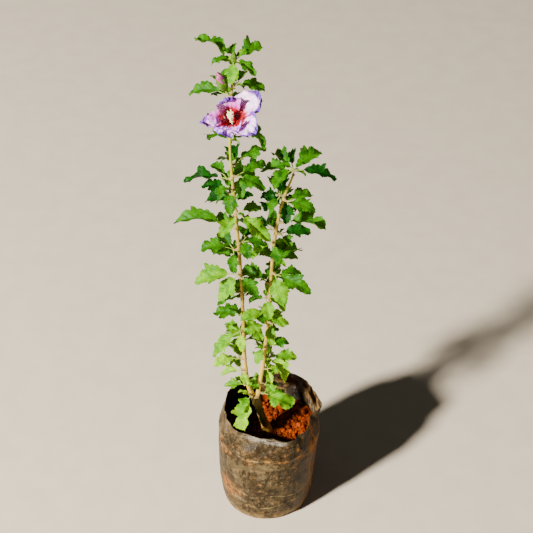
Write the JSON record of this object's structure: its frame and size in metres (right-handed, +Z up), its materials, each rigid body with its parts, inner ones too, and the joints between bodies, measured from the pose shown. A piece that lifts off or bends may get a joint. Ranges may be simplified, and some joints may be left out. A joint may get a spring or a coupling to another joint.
{
  "type": "potted hibiscus shrub",
  "caption": "Young hibiscus shrub with lobed, toothed leaves on slim stems that fork from a short trunk, with a lilac flower and a bud, standing in a soft nursery bag of red soil.",
  "frame": {"origin": "middle of the bag's flat underside, on the surface that it stands on", "axes": "+Z up along the shrub; +X to the right and +Y to the back, as seen from the side that the picture shows; the flower faces -Y"},
  "size_m": [0.1924, 0.1409, 0.7061],
  "materials": {
    "bag_film": "thin black polythene film, creased, with red-brown dust",
    "soil": "lumpy red earth",
    "bark": "fine tan bark with knots",
    "leaf": "soft satin leaf",
    "petals": "thin ruffled petal, lilac with a crimson eye",
    "bud": "soft green cup"
  },
  "bodies": {
    "root": {"grow_bag": "bag_film", "soil": "soil", "trunk": "bark", "left_stem": "bark", "right_stem": "bark", "left_leaves_01": "leaf", "left_leaves_02": "leaf", "left_leaves_03": "leaf", "left_leaves_04": "leaf", "left_leaves_05": "leaf", "left_leaves_06": "leaf", "left_leaves_07": "leaf", "left_leaves_08": "leaf", "left_leaves_09": "leaf", "left_leaves_10": "leaf", "left_leaves_11": "leaf", "left_leaves_12": "leaf", "left_leaves_13": "leaf", "left_leaves_14": "leaf", "left_leaves_15": "leaf", "left_leaves_16": "leaf", "left_leaves_17": "leaf", "left_leaves_18": "leaf", "left_leaves_19": "leaf", "left_leaves_20": "leaf", "left_leaves_21": "leaf", "left_leaves_22": "leaf", "left_leaves_23": "leaf", "left_leaves_24": "leaf", "left_leaves_25": "leaf", "left_leaves_26": "leaf", "right_leaves_01": "leaf", "right_leaves_02": "leaf", "right_leaves_03": "leaf", "right_leaves_04": "leaf", "right_leaves_05": "leaf", "right_leaves_06": "leaf", "right_leaves_07": "leaf", "right_leaves_08": "leaf", "right_leaves_09": "leaf", "right_leaves_10": "leaf", "right_leaves_11": "leaf", "right_leaves_12": "leaf", "right_leaves_13": "leaf", "right_leaves_14": "leaf", "right_leaves_15": "leaf", "right_leaves_16": "leaf", "right_leaves_17": "leaf", "right_leaves_18": "leaf", "right_leaves_19": "leaf", "right_leaves_20": "leaf", "right_leaves_21": "leaf", "right_leaves_22": "leaf", "flower": "petals", "bud": "bud"}
  },
  "joints": []
}
